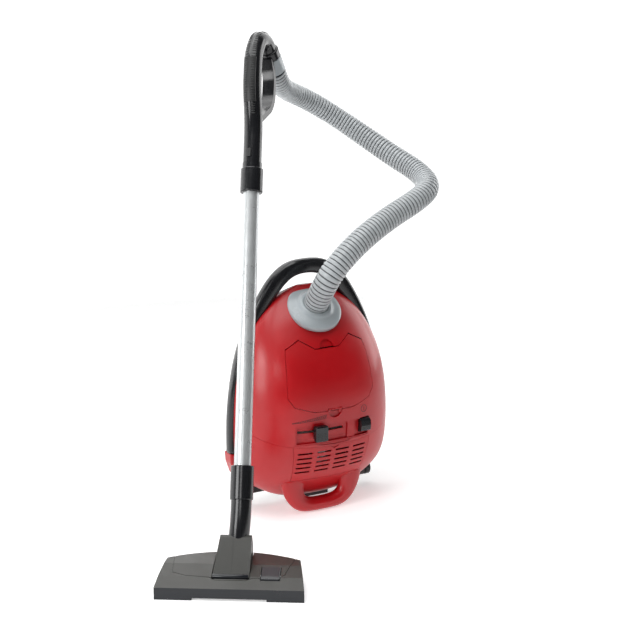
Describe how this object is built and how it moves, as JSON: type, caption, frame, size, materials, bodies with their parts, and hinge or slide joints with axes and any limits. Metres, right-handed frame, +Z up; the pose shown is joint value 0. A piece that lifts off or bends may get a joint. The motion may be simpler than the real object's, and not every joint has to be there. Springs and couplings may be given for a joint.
{
  "type": "canister vacuum cleaner",
  "caption": "Toy canister vacuum cleaner standing on its tail: domed body, ribbed hose, curved grip, straight wand and a tilting floor nozzle, with a working lid, controls and rollers.",
  "frame": {"origin": "centre of the flat underside of the foot loop, in the body's middle plane", "axes": "+Z up, -Y out of the body's front, +X towards the right-hand flank seen from the front"},
  "size_m": [0.5661, 0.4927, 0.7018],
  "materials": {
    "red_shell": "glossy moulded ABS, metallic red",
    "red_panel": "satin moulded ABS, red",
    "black_gloss": "satin black moulded ABS",
    "black_matte": "fine-grained black moulded plastic",
    "nozzle_grey": "satin dark grey moulded ABS",
    "blue_black": "glossy blue-black moulded plastic",
    "silver_tube": "light grey satin tube",
    "grey_plastic": "light grey moulded plastic",
    "grey_hose": "light grey ribbed soft plastic",
    "clear_box": "smoked moulded plastic",
    "filter_mesh": "fine white mesh",
    "steel": "zinc-plated steel",
    "motor_can": "plain steel can",
    "white_plastic": "natural nylon",
    "brass": "bright",
    "cell_wrap": "printed film wrap",
    "bristle": "nylon bristle tufts",
    "roller_black": "hard black moulded plastic"
  },
  "bodies": {
    "canister": {"front_cover": "red_shell", "tail_cover": "red_shell", "vent_panel": "red_panel", "control_tray": "red_panel", "rear_chassis": "black_matte", "carry_handle": "black_gloss", "foot_loop": "red_shell", "hose_rosette": "grey_plastic", "lid_hinge_pin": "steel", "slide_control": "white_plastic", "switch_housing": "black_matte", "dust_box": "clear_box", "inlet_duct": "black_matte", "filter_screen": "filter_mesh", "fan_housing": "white_plastic", "motor": "motor_can", "motor_bracket": "black_matte", "battery_box": "black_matte", "battery_cells": "cell_wrap", "battery_contacts": "brass", "battery_door": "black_matte", "battery_screw": "steel", "housing_screws": "steel", "roller_axles": "black_matte", "neck_pipe": "black_gloss", "lower_collar": "black_gloss", "wand_tube": "silver_tube", "upper_collar": "black_gloss", "handle_left": "black_gloss", "handle_right": "black_gloss", "grip_pad": "black_matte", "hose_cuff": "grey_plastic", "hose": "grey_hose"},
    "lid": {"dust_lid": "red_shell"},
    "slider": {"power_slider": "black_gloss"},
    "switch": {"power_switch": "black_gloss"},
    "fan_rotor": {"fan": "white_plastic", "motor_shaft": "steel"},
    "roller_left": {"tail_roller_left": "roller_black"},
    "roller_right": {"tail_roller_right": "roller_black"},
    "caster": {"caster_fork": "black_matte", "caster_axle": "steel"},
    "caster_roll": {"caster_wheel": "roller_black"},
    "knee": {"hinge_cover": "nozzle_grey"},
    "nozzle": {"nozzle_top": "nozzle_grey", "nozzle_sole": "black_matte", "nozzle_axle": "steel", "pedal_pin": "steel"},
    "pedal": {"nozzle_pedal": "blue_black"},
    "brush": {"brush_strip": "bristle"},
    "tube_latch": {"latch_button": "black_matte"}
  },
  "joints": [
    {"name": "lid_hinge", "type": "hinge", "parent": "canister", "child": "lid", "pos_m": [0, -0.0442, 0.1708], "axis": [1, 0, 0], "range_deg": [0, 75]},
    {"name": "slider_travel", "type": "slide", "parent": "canister", "child": "slider", "axis": [1, 0, 0], "range_m": [-0.0265, 0.0365]},
    {"name": "switch_rock", "type": "hinge", "parent": "canister", "child": "switch", "pos_m": [0.0515, -0.038, 0.1375], "axis": [1, 0, 0], "range_deg": [0, 16]},
    {"name": "fan_spin", "type": "hinge", "parent": "canister", "child": "fan_rotor", "pos_m": [0, 0.008, 0.12], "axis": [0, 0, 1], "continuous": true},
    {"name": "roller_left_spin", "type": "hinge", "parent": "canister", "child": "roller_left", "pos_m": [-0.1045, 0.056, 0.028], "axis": [1, 0, 0], "continuous": true},
    {"name": "roller_right_spin", "type": "hinge", "parent": "canister", "child": "roller_right", "pos_m": [0.1045, 0.056, 0.028], "axis": [1, 0, 0], "continuous": true},
    {"name": "caster_swivel", "type": "hinge", "parent": "canister", "child": "caster", "pos_m": [0, 0.09, 0.262], "axis": [0, 1, 0], "continuous": true},
    {"name": "caster_spin", "type": "hinge", "parent": "caster", "child": "caster_roll", "pos_m": [0, 0.1038, 0.257], "axis": [1, 0, 0], "continuous": true},
    {"name": "knee_swivel", "type": "hinge", "parent": "canister", "child": "knee", "pos_m": [-0.21485, -0.16263, 0.029], "axis": [0.2105, 0.1551, 0.9652], "range_deg": [-45, 45]},
    {"name": "nozzle_tilt", "type": "hinge", "parent": "knee", "child": "nozzle", "pos_m": [-0.24111, -0.20051, 0.017], "axis": [0.8572, -0.515, 0], "range_deg": [-15, 15]},
    {"name": "pedal_rock", "type": "hinge", "parent": "nozzle", "child": "pedal", "pos_m": [-0.19379, -0.2237, 0.022], "axis": [0.8572, -0.515, 0], "range_deg": [0, 12]},
    {"name": "brush_drop", "type": "slide", "parent": "nozzle", "child": "brush", "axis": [0, 0, 1], "range_m": [-0.003, 0]},
    {"name": "tube_latch_press", "type": "slide", "parent": "canister", "child": "tube_latch", "axis": [0.6933, 0.5862, -0.4192], "range_m": [0, 0.0015], "stiffness_N_per_m": 400}
  ],
  "couplings": [
    {"joint": "brush_drop", "follows": "pedal_rock", "m_per_rad": -0.0143}
  ]
}
